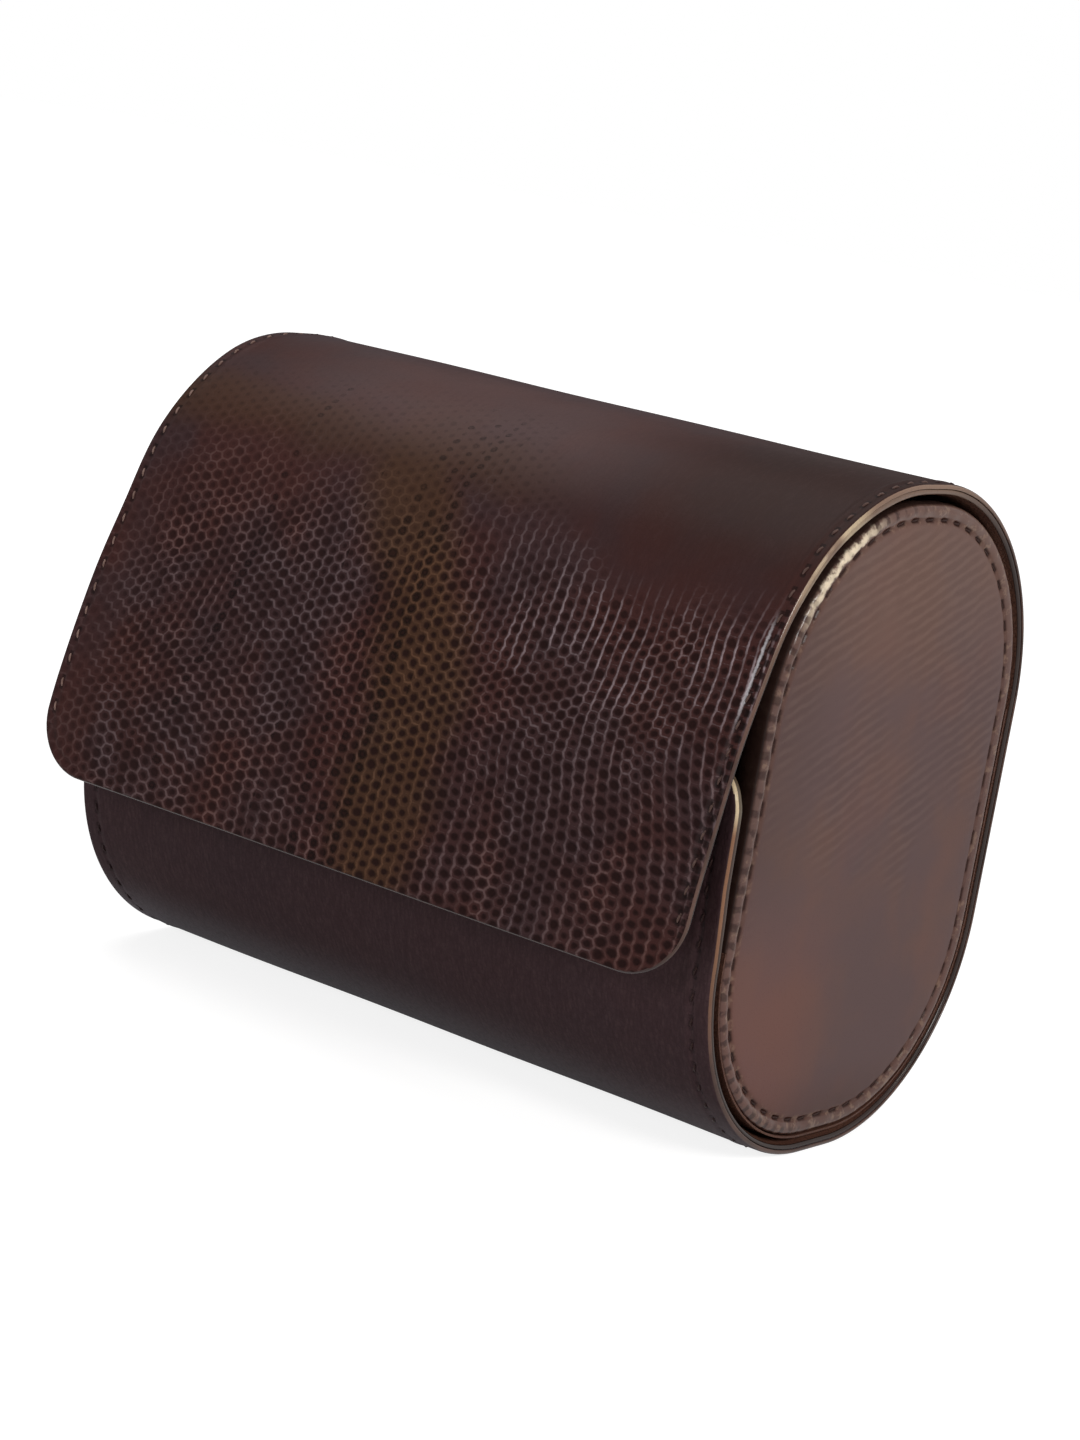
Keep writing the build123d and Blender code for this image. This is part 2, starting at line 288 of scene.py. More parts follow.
class Material:
    """A material in the making, in millimetres, its colour laid in coats."""

    def __init__(self, name, attribute=None):
        self.made = bpy.data.materials.new(name)
        self.made.use_nodes = True
        self.tree = self.made.node_tree
        if attribute:
            self.place = self.stored(attribute)
        else:
            inputs = {0: add_node(self.tree, "TexCoord").outputs["Object"], "Scale": 1 / MM}
            self.place = add_node(self.tree, "VectorMath", inputs, operation="SCALE").outputs[0]
        self.x, self.y, self.z = self.split(self.place)

    def stored(self, name):
        """A vector that the mesh stores at its points."""
        return add_node(self.tree, "Attribute", attribute_name=name).outputs["Vector"]

    def split(self, vector):
        """The three parts of a vector."""
        return [Field(part) for part in add_node(self.tree, "SeparateXYZ", {0: vector}).outputs]

    def vector(self, *parts):
        """A vector from fields or plain numbers."""
        return add_node(self.tree, "CombineXYZ", enumerate(parts)).outputs[0]

    def texture(self, size, at):
        """What goes into a texture of about this size, at its own place or the material's."""
        return {"Vector": self.vector(*at) if at else self.place, "Scale": 1 / size}

    def noise(self, size, detail=2, roughness=0.5, at=None, distortion=0):
        """Noise of about this size, centred on a half."""
        inputs = {"Detail": detail, "Roughness": roughness, "Distortion": distortion}
        node = add_node(self.tree, "TexNoise", self.texture(size, at) | inputs)
        return Field(node.outputs["Fac"])

    def random(self, *parts):
        """A number between 0 and 1 for each place."""
        node = add_node(self.tree, "TexWhiteNoise")
        feed(self.vector(*parts), node.inputs["Vector"])
        return Field(node.outputs["Value"])

    def cells(self, size, edge=False, randomness=1, at=None):
        """Distance from the middle or the edge of irregular cells of about this size."""
        inputs = self.texture(size, at) | {"Randomness": randomness}
        node = add_node(self.tree, "TexVoronoi", inputs, feature="DISTANCE_TO_EDGE" if edge else "F1")
        return Field(node.outputs["Distance"])

    def mix(self, share, first, second):
        """A colour between two, each a socket or sRGB numbers out of 255."""
        node = add_node(self.tree, "Mix", {"Factor": share}, data_type="RGBA")
        for name, colour in (("A", first), ("B", second)):
            socket = next(i for i in node.inputs if i.name == name and i.type == "RGBA")
            feed(paint(*colour) if isinstance(colour, tuple) else colour, socket)
        return next(o for o in node.outputs if o.type == "RGBA")

    def coat(self, share, colour, ground=None):
        """Lay a share of a colour over the material's own, or over a first ground."""
        self.colour = self.mix(share, ground or self.colour, colour)

    def finish(self, roughness, height, depth, **constants):
        """Wire colour, roughness and a bump of this depth."""
        shader = self.tree.nodes["Principled BSDF"]
        feed(self.colour, shader.inputs["Base Color"])
        feed(roughness, shader.inputs["Roughness"])
        bump = add_node(self.tree, "Bump", {"Strength": 1, "Distance": depth * MM, "Height": height})
        feed(bump.outputs["Normal"], shader.inputs["Normal"])
        for name, value in constants.items():
            shader.inputs[name.replace("_", " ").title().replace("Ior", "IOR")].default_value = value
        return self.made


def paint(red, green, blue):
    """Linear colour from sRGB numbers out of 255."""
    values = (value / 255 for value in (red, green, blue))
    return (*(v / 12.92 if v <= 0.04045 else ((v + 0.055) / 1.055) ** 2.4 for v in values), 1)


# ------ materials
# Numbers in the formulas are millimetres or shares. On the hide, s is -215 at the lip, -108 at the foot,
# -30 at the lid's fold, 46 at the flap's fold and 88 at its tip.
def emboss_cells(m, x, s):
    """The nearest cell of a warped hexagon grid: place in it, columns across, and its own random number."""
    drift = m.noise(30, 1) - 0.5
    sway = m.noise(10, 1, at=(s, x, 7)) - 0.5
    # the columns run round the case and spread a little towards the flap's tip
    across = (x + drift * 3.2 + sway * 2) * (0.58 - s.ease(54, 80) * 0.06) * (ROOT3 / 2)
    along = (s + drift * 2.6 + sway * 1.4) * 0.572
    cell = []
    for shift in (0, 0.5):
        a = (along - shift).mod(1) - 0.5
        b = (across - shift * ROOT3).mod(ROOT3) - ROOT3 / 2
        cell.append((a, b, a * a + b * b))
    first = cell[0][2].math("LESS_THAN", cell[1][2])
    a = cell[0][0] * first + cell[1][0] * (1 - first)
    b = cell[0][1] * first + cell[1][1] * (1 - first)
    return a, b, across, m.random((along - a) * 2, (across - b) * 2, 0)


def emboss_ridges(m, x, s, a, b, across, ragged):
    """Where ridges join up into columns, and the ridges: runs round the case, slanted runs and cells."""
    columns = (m.noise(10, 1, at=(x, s * 0.6, 31)) + x * 0.003).ease(0.42, 0.62)
    slants = (m.noise(12, 1, at=(x, s, 57)) - (s - 66).abs() * 0.008).ease(0.4, 0.55)
    ends = a.abs() * (1 - columns * 0.22)
    flank = (a * 0.5 + b * (ROOT3 / 2)).abs() * (1 - slants * 0.22)
    flank = flank.max((a * 0.5 - b * (ROOT3 / 2)).abs())
    straight = 0.5 - ((across / (ROOT3 / 2)).mod(1) - 0.5).abs()
    runs = columns * (0.4 + x.ease(14, 34) * s.ease(70, 56) * 0.4)
    flank = flank * (1 - runs) + straight * runs
    return columns, (ends.max(flank) + ragged * 0.16).ease(0.35, 0.48)


def needle_holes(x, s, low_seam):
    """Holes at both ends of each stitch along the rims."""
    row = (x.abs() - (HALF_LENGTH - RIM_SEAM) + low_seam * (BODY_SEAM - RIM_SEAM)).abs()
    step = (s / STITCH_PITCH).mod(1)
    hole = (step - STITCH_FROM).abs().min((step - STITCH_TO).abs())
    return hole.ease(0.11, 0.04) * row.ease(0.5, 0.2) * s.ease(TIP_RUN - 6, TIP_RUN - 7)


def hide_ground(m, x, s, patch):
    """Lay the hide's brown, with painted shade over the right end of the top, a painted sheen on the crown
    and a painted floor reflection low on the front. Returns its blotches, its olive band and its plain
    body.
    """
    blotch = m.noise(21, 3, 0.55, at=(x, s, 12))
    blush = m.noise(13, at=(x, s * 0.6, 40))
    m.coat(blotch.ease(0.38, 0.62), (53, 36, 37), (58, 33, 31))
    m.coat(blush.ease(0.5, 0.7) * 0.55, (61, 35, 32))
    middle = s.ease(20, 64) * 19 - 13
    band = ((x - middle + patch * 10) / 10).abs().ease(1.15, 0.35) * s.ease(12, 30)
    shoulder = ((s - 27 + patch * 8) / 7).abs().ease(1.1, 0.2) * x.ease(24, -4)
    m.coat(band.max(shoulder * 0.8) * 0.8, (64, 43, 30))
    body = (s * -1).ease(-14, 14)
    m.coat(body * 0.8, (57, 42, 46))
    # painted shade: the top darker towards its right end
    far = x.ease(8, 44) * (s - 8).abs().ease(34, 14)
    m.coat(far * 0.75, (40, 25, 21))
    # painted sheen: a lighter band over the crown of the top
    crown = (s - 15 + patch * 8).abs().ease(17, 3) * (x + 12).abs().ease(46, 12)
    m.coat(crown * 0.3, (108, 86, 84))
    # painted reflection of the pale floor on the low front curve, fading towards the right
    foot = (s + 140).abs().ease(30, 8) * (1 - x.ease(-50, 50) * 0.5)
    m.coat(foot * 0.7, (136, 132, 140))
    return blotch, band, body


def lizard_leather():
    """Embossed wrap: cells on the flap that fade over the top to a fine grain."""
    m = Material("lizard_leather", "hide")
    x, s = m.x, m.y
    a, b, across, own = emboss_cells(m, x, s)
    ragged = m.noise(0.7) - 0.5
    radius = (a * a + b * b).root() + (own - 0.5) * 0.16 + ragged * 0.2
    columns, ridge = emboss_ridges(m, x, s, a, b, across, ragged)
    # where the emboss bites: the flap, thinning to single pits over the top
    patch = m.noise(16) - 0.5
    right = x.ease(0, 32)
    flap = ((s + patch * 14 - right * 13 - 22) / (28 - right * 17)).ease(0, 1)
    edge = (x + HALF_LENGTH + patch * 12).ease(0, 15)
    bite = flap * (0.3 + edge * 0.7)
    faint = ((s + patch * 12 - right * 24 - 10) / 16).ease(0, 1)
    struck = (bite * 1.5 - own).ease(0, 0.3)
    depth = (faint * 0.35).max(bite * (0.35 + struck * 0.65))
    pit = (radius + (1 - bite) * 0.09).ease(0.39, 0.14) * depth
    lit = m.noise(4, 3, 0.65, at=(x * 1.6, s * 0.6, 77)).ease(0.4, 0.6)
    ridge = ridge * bite
    streak = m.noise(0.9, 3, 0.6, at=(x * 2, s * 0.5, 3))
    fine = m.cells(0.7, edge=True, randomness=0.7, at=(x, s * 0.8, 0)).ease(0, 0.2)
    grain = streak * 0.6 + fine * 0.4
    low_seam = (s * -1).ease(5, 40)
    hole = needle_holes(x, s, low_seam)
    blotch, band, body = hide_ground(m, x, s, patch)
    # painted shade: the pits coated near black, deepest towards the right
    m.coat(pit * (0.78 + x.ease(-25, 10) * 0.14), (27, 11, 10))
    # painted highlight: the ridges lightened in lit patches, bluish grey in places, with brighter painted
    # glints on the columns at the right
    light = m.mix(blotch.ease(0.35, 0.65), (104, 76, 72), (98, 82, 84))
    light = m.mix(band * 0.8, light, (92, 64, 42))
    light = m.mix(columns * right * s.ease(66, 50), light, (150, 134, 138))
    m.coat(ridge * (0.06 + lit * 0.48 + own * 0.28), light)
    plain = (1 - bite) * (0.25 + body * 0.75)
    m.coat(streak.ease(0.45, 0.75) * plain * 0.3, (80, 62, 62))
    m.coat(streak.ease(0.5, 0.3) * plain * 0.25, (40, 25, 26))
    m.coat((1 - fine) * plain * 0.2, (34, 22, 22))
    m.coat(hole * (0.6 - low_seam * 0.35), (18, 10, 9))
    # the near rim of the flap: a painted bluish-white highlight along its bead, and a row of needle marks
    # outside it
    rim = HALF_LENGTH - x
    bead_highlight = (rim - 1.9 - ragged * 0.5).abs().ease(0.3, 0.05) * (s - 46).abs().ease(9, 3)
    m.coat(bead_highlight * 0.8, (172, 168, 172))
    marks = ((s / 1.75).mod(1) - 0.5).abs().ease(0.34, 0.16) * (rim - 0.75).abs().ease(0.5, 0.2)
    marks = marks * s.ease(33, 38)
    m.coat(marks * 0.85, (22, 10, 9))
    height = ridge * 0.4 - pit + grain * (1 - bite * 0.8) * 0.16
    height = height + m.noise(5) * 0.3 - hole * 0.8 - marks
    roughness = 0.44 + pit * 0.2 + (blotch - 0.5) * 0.24 - ridge * 0.16
    return m.finish(
        roughness, height, 0.24, specular_ior_level=0, coat_weight=0.1, coat_roughness=0.34)


def end_leather(name, gloss):
    """Lighter leather of the oval ends: fine slanted lines, a polished bead with a painted highlight, and
    dark slits by the seam with painted shade there, under the flap and on the turned edge.
    """
    m = Material(name)
    y, z = m.y, m.z
    inset, pull, dots = m.split(m.stored("hide"))
    slant = math.radians(21)
    wave = m.noise(7) - 0.5
    rows = z * math.cos(slant) - y * math.sin(slant) + wave * 1.2
    runs = y * math.cos(slant) + z * math.sin(slant)
    lines = ((rows / 1.62).mod(1) - 0.5).abs()
    beads = m.noise(1.3, at=(runs * 0.4, rows * 1.3, 5)) - 0.5
    scale = (lines + beads * 0.7).ease(0.1, 0.5)
    bite = (m.noise(15) + (z - 55) * 0.008).ease(0.36, 0.66) * inset.ease(2.6, 4.5)
    blotch = m.noise(17, 3, 0.55)
    warm = m.noise(15, at=(y, z, 90))
    speck = m.noise(1.3, 3, 0.6)
    m.coat(blotch.ease(0.35, 0.65), (87, 69, 69), (94, 71, 66))
    # painted light: the panel lighter towards its top
    m.coat(z.ease(60, 88) * 0.5, (112, 88, 79))
    low_front = z.ease(45, 18) * y.ease(2, -16)
    m.coat(low_front.max(warm.ease(0.5, 0.7) * 0.25) * 0.65, (106, 72, 66))
    # darker at the foot
    m.coat(z.ease(14, 2) * 0.5, (70, 50, 46))
    m.coat(y.ease(-12, -28) * z.ease(30, 50) * 0.4, (74, 57, 54))
    m.coat(scale * bite * 0.17, (116, 95, 86))
    m.coat((1 - scale) * bite * 0.19, (70, 50, 46))
    pores = m.cells(0.5).ease(0.22, 0.04)
    m.coat(pores * 0.22, (58, 40, 36))
    # border: scuffed light flecks on the bead, painted shade in the stitch slits and under the flap, a
    # painted highlight on the bead's upper front and painted shade on the turned edge
    border = inset.ease(3.2, 2.4)
    m.coat(border * 0.6, (88, 62, 54))
    m.coat(border * speck.ease(0.52, 0.66) * 0.4, (136, 112, 96))
    # painted shade: dark slits where the stitches sink into the seam
    slit = (pull + (speck - 0.5) * 1.2).ease(-0.2, 0.4) * (inset - 2.25).abs().ease(0.55, 0.15)
    # painted shadow of the flap: dark scalloped lobes on the bead's outer slope at the front
    lobe = (dots + (speck - 0.5) * 4).ease(-0.2, 0.8) * (inset - 0.6).abs().ease(1.1, 0.3)
    lobe = lobe * y.ease(4, -12)
    # painted highlight: a cream glint on the bead's upper front
    painted_glint = ((y + 21) * (y + 21) + (z - 84) * (z - 84)).root().ease(13, 4) * m.x.ease(50, 54)
    painted_glint = painted_glint * (inset - 0.8 - (speck - 0.5) * 2).abs().ease(0.75, 0.15)
    m.coat(painted_glint * 0.85, (224, 208, 184))
    m.coat(slit.max(lobe * (0.9 - painted_glint * 0.7)) * 0.85, (44, 23, 20))
    # painted shade: the panel's turned edge, down in the gap, darkened
    turned = m.x.abs().ease(57.75, 57.3)
    m.coat(turned * 0.92, (34, 22, 19))
    height = scale * bite * 0.3 + m.noise(0.4, 3) * 0.3 + m.noise(6) * 0.5 - pores * 0.3 + speck * border
    roughness = 0.42 + (blotch - 0.5) * 0.25 + pores * 0.1 - border * 0.12 + turned * 0.3
    return m.finish(
        roughness, height, 0.06, specular_ior_level=0, coat_weight=gloss, coat_roughness=0.2)


def edge_paint():
    """Burnished and painted edges, scuffed to a warmer tan along the lip, with painted highlights on the
    right shoulder and the lip's corner and painted shade on the lining's rims.
    """
    m = Material("edge_paint", "hide")
    rub = m.noise(8, 3, 0.6)
    m.coat(rub.ease(0.35, 0.65), (84, 60, 52), (60, 42, 36))
    # lighter round the right shoulder: burnished tan with a painted highlight
    shoulder = (m.y - 14).abs().ease(44, 14) * m.x.ease(-10, 40)
    m.coat(shoulder * 0.75, (130, 104, 88))
    lip = (m.y - LIP_RUN).ease(44, 18)
    m.coat(lip * 0.85, (128, 88, 62))
    # painted highlight: cream glints on the right shoulder and the lip's corner
    painted_glint = (m.y - 26).abs().ease(12, 2) * m.x.ease(50, 56) * (rub - 0.1).ease(0.2, 0.6)
    painted_glint = painted_glint.max((m.y - LIP_RUN - 4).abs().ease(5, 1) * m.x.ease(46, 52))
    m.coat(painted_glint * 0.8, (206, 188, 156))
    tip = m.y.ease(TIP_RUN - 4, TIP_RUN - 1).max(m.x.ease(-50, -56) * m.y.ease(10, -10))
    m.coat(tip * 0.8, (46, 31, 32))
    # painted shade: the lining's rims darkened, less on the shoulder
    m.coat(m.z * (0.85 - shoulder * 0.6), (30, 18, 15))
    fibres = m.noise(0.3, 3, 0.7)
    m.coat(fibres.ease(0.5, 0.75) * 0.25, (60, 40, 34))
    roughness = 0.3 + rub * 0.14
    return m.finish(
        roughness, fibres + rub * 0.8, 0.03, specular_ior_level=0, coat_weight=0.5, coat_roughness=0.2)


def plain_leather():
    """Smooth brown lining leather with a fine pebbled grain."""
    m = Material("lining_leather")
    pebble = m.cells(0.6, edge=True)
    tone = m.noise(12, 3)
    m.coat(tone.ease(0.3, 0.7), (84, 56, 45), (76, 49, 40))
    m.coat(pebble.ease(0.12, 0) * 0.5, (40, 24, 20))
    height = pebble.ease(0, 0.2) + m.noise(0.3) * 0.3
    return m.finish(0.45 + tone * 0.2, height, 0.04, specular_ior_level=0.1)


def suede(name, dark, light):
    """Napped suede: short fibres, brushed patches and a soft sheen."""
    m = Material(name)
    fibres = m.noise(0.22, 4, 0.75)
    brushed = m.noise(9, 3, 0.6, distortion=0.6)
    m.coat(brushed.ease(0.3, 0.7) * 0.6 + 0.2, light, dark)
    m.coat(fibres.ease(0.45, 0.8) * 0.5, tuple(min(255, c + 26) for c in light))
    made = m.finish(0.85 + brushed * 0.1, fibres + brushed * 0.4, 0.09,
                    specular_ior_level=0.05, sheen_weight=0.4, sheen_roughness=0.45)
    m.tree.nodes["Principled BSDF"].inputs["Sheen Tint"].default_value = paint(190, 150, 120)
    return made


def greyboard():
    """Grey stiffening board with dark specks."""
    m = Material("greyboard")
    fibres = m.noise(0.6, 4, 0.7)
    specks = m.cells(1.3).ease(0.12, 0.04)
    m.coat(fibres.ease(0.3, 0.7), (140, 132, 120), (112, 104, 94))
    m.coat(specks * 0.6, (74, 66, 60))
    return m.finish(0.85 + fibres * 0.1, fibres, 0.04, specular_ior_level=0.05)


def stud_metal():
    """Aged brass of the press studs."""
    m = Material("stud_metal")
    tarnish = m.noise(1.6, 3)
    scratches = m.noise(0.3, 3, 0.7)
    m.coat(tarnish.ease(0.4, 0.7), (96, 78, 58), (150, 122, 84))
    return m.finish(0.26 + tarnish * 0.2 + scratches * 0.08, scratches, 0.01, metallic=1)


def thread(name, dark, light):
    """Waxed thread: two plies twisted along their run."""
    m = Material(name)
    twist = ((m.x + m.y + m.z) / 0.28).mod(1) - 0.5
    ply = twist.abs().ease(0.1, 0.45)
    m.coat(m.noise(2).ease(0.3, 0.7), light, dark)
    m.coat(m.x.ease(0, 30) * 0.65, (50, 32, 30))
    m.coat(ply * 0.5, tuple(int(c * 0.55) for c in dark))
    return m.finish(0.5 + ply * 0.15, 1 - ply, 0.03, specular_ior_level=0.1)


LIZARD = lizard_leather()
END_LEATHER = end_leather("end_leather", 0.15)
END_BEAD = end_leather("end_bead", 0.4)
EDGE = edge_paint()
LINING = plain_leather()
SUEDE = suede("suede", (84, 62, 48), (104, 80, 64))
CUSHION_SUEDE = suede("cushion_suede", (96, 72, 56), (118, 92, 74))
BOARD = greyboard()
METAL = stud_metal()
RIM_THREAD = thread("rim_thread", (112, 88, 80), (140, 114, 106))
BODY_THREAD = thread("body_thread", (42, 28, 28), (56, 40, 40))
END_THREAD = thread("end_thread", (48, 28, 24), (70, 46, 38))


# ------ mesh helpers
def linked(name, data):
    """A new object in the scene."""
    made = bpy.data.objects.new(name, data)
    bpy.context.scene.collection.objects.link(made)
    return made


def new_object(name, verts, faces, materials, indices=None, hide=None, sharp=()):
    """A mesh object from points in millimetres, with outward faces and smooth shading."""
    mesh = bpy.data.meshes.new(name)
    mesh.from_pydata((np.asarray(verts) * MM).tolist(), [], [tuple(map(int, f)) for f in faces])
    for material in materials:
        mesh.materials.append(material)
    if indices is not None:
        mesh.polygons.foreach_set("material_index", np.asarray(indices, np.int32))
    if hide is not None:
        layer = mesh.attributes.new("hide", "FLOAT_VECTOR", "POINT")
        layer.data.foreach_set("vector", np.asarray(hide, np.float32).ravel())
    work = bmesh.new()
    work.from_mesh(mesh)
    bmesh.ops.recalc_face_normals(work, faces=work.faces)
    work.to_mesh(mesh)
    work.free()
    mesh.shade_smooth()
    if len(sharp):
        ends = np.zeros(len(mesh.edges) * 2, np.int32)
        mesh.edges.foreach_get("vertices", ends)
        layer = mesh.attributes.new("sharp_edge", "BOOLEAN", "EDGE")
        layer.data.foreach_set("value", np.isin(ends, sharp).reshape(-1, 2).all(1))
    return linked(name, mesh)


def modify(piece, kind, **settings):
    """Add a modifier to a piece."""
    return configure(piece.modifiers.new(kind.lower(), kind), settings)


def apply_modifiers(piece):
    """Put the modified mesh in place of the object's own."""
    graph = bpy.context.evaluated_depsgraph_get()
    mesh = bpy.data.meshes.new_from_object(piece.evaluated_get(graph), depsgraph=graph)
    piece.modifiers.clear()
    old, piece.data = piece.data, mesh
    bpy.data.meshes.remove(old)


def shell(top, under):
    """Points of a closed layer between two grids, and the faces of its top, underside and rim."""
    rows, columns = top.shape[:2]
    count = rows * columns
    grid = np.arange(count).reshape(rows, columns)
    quads = np.stack([grid[:-1, :-1], grid[1:, :-1], grid[1:, 1:], grid[:-1, 1:]], -1).reshape(-1, 4)
    ring = np.concatenate([grid[0, :-1], grid[:-1, -1], grid[-1, :0:-1], grid[:0:-1, 0]])
    after = np.roll(ring, -1)
    rim = np.stack([ring, after, after + count, ring + count], -1)
    return np.concatenate([top.reshape(-1, 3), under.reshape(-1, 3)]), quads, quads[:, ::-1] + count, rim


def bands(count, rings, extra=()):
    """Quads between closed rings of count points: each ring and the next, then the extra pairs."""
    k = np.arange(count)
    n = (k + 1) % count
    pairs = [(ring, ring + 1) for ring in range(rings - 1)] + list(extra)
    return np.concatenate([
        np.stack([low * count + k, low * count + n, high * count + n, high * count + k], -1)
        for low, high in pairs]).tolist()


def closed(count, rings):
    """Quads between rings of count points, and a face over each end."""
    foot = list(range(count))
    return bands(count, rings) + [foot[::-1], [k + (rings - 1) * count for k in foot]]


def ring_at(x, points):
    """Points of the section at one place along the case, or each at its own."""
    return np.column_stack([np.full(len(points), x), points])


def hoops(points, u, v, radius, sides):
    """Round rings of points about a path, in the planes of u and v."""
    angle = np.arange(sides) * 2 * math.pi / sides
    across = np.cos(angle)[None, :, None] * u[:, None] + np.sin(angle)[None, :, None] * v[:, None]
    radius = np.broadcast_to(radius, len(points))
    return (points[:, None] + radius[:, None, None] * across).reshape(-1, 3)


def tube(points, radius, sides=6):
    """Points and faces of a closed tube along a path."""
    tangent = unit(np.gradient(points, axis=0))
    u = unit(np.cross(tangent, TUBE_GUIDE))
    return hoops(points, u, np.cross(tangent, u), radius, sides), closed(sides, len(points))


def gather(parts):
    """One list of points and one of faces from several."""
    verts, faces, count = [], [], 0
    for points, polygons in parts:
        verts.append(points)
        faces.extend([i + count for i in polygon] for polygon in polygons)
        count += len(points)
    return np.concatenate(verts), faces


# ------ the wrap
# distances in from a free edge, and the wrap's columns as shares of half its length
EDGE_STEPS = [0, 0.05, 0.12, 0.22, 0.36, 0.6, 1, 1.4, 1.8, 2.1, 2.4, 2.6, 2.8, 3, 3.2, 3.5, 4, 4.6, 5.4,
              6.4]
FIELD_STEPS = [8, 10, 13, 16, 20, 24, 28, 33, 38, 43, 48, 53, 58]
COLUMNS = 1 - np.array(EDGE_STEPS + FIELD_STEPS) / HALF_LENGTH
COLUMNS = np.concatenate([-COLUMNS, COLUMNS[::-1][1:]])
TUBE_GUIDE = np.array([0.31, 0.52, 0.79])

# pressed and rounded edges: depths, widths and radii
PINCH_REACH, PINCH_EASE, PINCH_LEATHER, PINCH_GAP = 1.7, 1.1, 0.2, 0.12
SEAM_ZONE = 40  # the seam's marks lie beyond this x
CREASE, CREASE_WIDTH, BEAD, BEAD_INSET, BEAD_WIDTH = 0.14, 0.34, 0.11, 0.95, 0.4
LINING_CREASE, LINING_CREASE_WIDTH, LINING_THIN = 0.1, 0.4, 0.14
LEATHER_ROUND, LEATHER_INNER_ROUND, LINING_OUTER_ROUND, LINING_ROUND = 0.56, 0.12, 0.1, 0.42
LINING_RECESS = 0.15


def stations(free):
    """Places round the section from a free edge to the middle of the top."""
    steps = [free - math.copysign(step, free) for step in EDGE_STEPS]
    return np.unique(np.concatenate([steps, np.linspace(steps[-1], 0, int(abs(steps[-1])))]))


def swell(x, s):
    """Slow unevenness of the leather."""
    return (0.10 * np.sin(x / 17 + 1.3) * np.sin(s / 21 + 0.4)
            + 0.05 * np.sin(x / 7.7 + s / 12.1) + 0.04 * np.sin(s / 6.3 - x / 19))


def round_over(distance, radius):
    """How far a rounded edge has dropped at a distance in from it."""
    short = np.clip(radius - distance, 0, radius)
    return radius - np.sqrt(radius ** 2 - short ** 2)


def bell(value, middle, width):
    """A smooth bump of height one."""
    return np.exp(-((value - middle) / width) ** 2)


def seam_inset(s):
    """How far in from the rims the stitching runs."""
    return RIM_SEAM + (BODY_SEAM - RIM_SEAM) * np.clip((-s - 5) / 35, 0, 1)


def pinch(inside):
    """Share of the squeeze where the layers are sewn together."""
    return ramp(PINCH_REACH - inside, 0, PINCH_EASE)


def leather_outer(x, s, inside):
    """Depth of the leather's face: a rounded edge, a crease under the stitches and a bead beside it."""
    from_seam = inside - seam_inset(s)
    rim = np.abs(x) > SEAM_ZONE
    crease = CREASE * bell(from_seam, 0, CREASE_WIDTH) * rim
    bead = BEAD * bell(from_seam, BEAD_INSET, BEAD_WIDTH) * rim
    return round_over(inside, LEATHER_ROUND) + crease - bead - swell(x, s) * np.clip(inside / 6, 0, 1)


def leather_inner(x, s, inside):
    """Depth of the leather's back."""
    return LEATHER - PINCH_LEATHER * pinch(inside) - round_over(inside, LEATHER_INNER_ROUND)


def lining_outer(x, s, inside):
    """Depth of the lining's back, which meets the leather where they are sewn."""
    squeeze = (LINING_FACE - LEATHER + PINCH_GAP) * pinch(inside)
    return LINING_FACE - squeeze + round_over(inside, LINING_OUTER_ROUND)


def lining_inner(x, s, inside):
    """Depth of the lining's face, pressed thin along the rims."""
    crease = LINING_CREASE * bell(inside, seam_inset(s), LINING_CREASE_WIDTH) * (np.abs(x) > SEAM_ZONE)
    press = np.interp(s, PRESS_RUN, PRESSED) * pinch(inside)
    inner = WALL - press - round_over(inside, LINING_ROUND) - crease
    return np.maximum(inner, lining_outer(x, s, inside) + LINING_THIN)


def sheet_solid(name, free, corner, outer, inner, recess, materials, painted):
    """A closed layer of the wrap with rounded free corners. The third part of "hide" marks the lining."""
    half = HALF_LENGTH - recess
    end = free - math.copysign(recess, free)
    places = np.unique(np.clip(stations(free), min(end, 0), max(end, 0)))
    gap = np.abs(places - end)
    x = (half - round_over(gap, corner))[:, None] * COLUMNS
    s, gap = (np.broadcast_to(values[:, None], x.shape) for values in (places, gap))
    qx, qs = np.abs(x) - (half - corner), corner - gap
    inside = np.where((qx > 0) & (qs > 0), corner - np.hypot(qx, qs), np.minimum(half - np.abs(x), gap))
    inside = np.clip(inside, 0, None)
    verts, top, under, rim = shell(place(x, s, outer(x, s, inside)), place(x, s, inner(x, s, inside)))
    near = inside.ravel()[top].mean(1) < painted
    seam = np.arange(len(COLUMNS)) + (0 if free > 0 else x.size - len(COLUMNS))
    on_seam = np.isin(rim % x.size, seam).all(1)
    indices = np.concatenate([near, near, ~on_seam]).astype(int)
    hide = np.stack([x, s, np.full_like(x, recess > 0)], -1).reshape(-1, 3)
    return new_object(name, verts, np.concatenate([top, under, rim]), materials, indices,
                      np.concatenate([hide, hide]), np.concatenate([seam, seam + x.size]))


def join_wrap(piece, nodes):
    """Let a piece stand for the CAD layers it covers, hiding them, and bake its placement into its points.
    """
    if nodes:
        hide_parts(*nodes)
    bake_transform(piece)


LEATHER_LAYER = (leather_outer, leather_inner, 0, [LIZARD, EDGE], 0.25)
LINING_LAYER = (lining_outer, lining_inner, LINING_RECESS, [LINING, EDGE], 0.3)
wrap_rear = sheet_solid("wrap_rear", LIP_RUN, LIP_CORNER, *LEATHER_LAYER)
wrap_front = sheet_solid("wrap_front", TIP_RUN, FLAP_CORNER, *LEATHER_LAYER)
lining_rear = sheet_solid("lining_rear", LIP_RUN, LIP_CORNER, *LINING_LAYER)
lining_front = sheet_solid("lining_front", TIP_RUN, FLAP_CORNER, *LINING_LAYER)


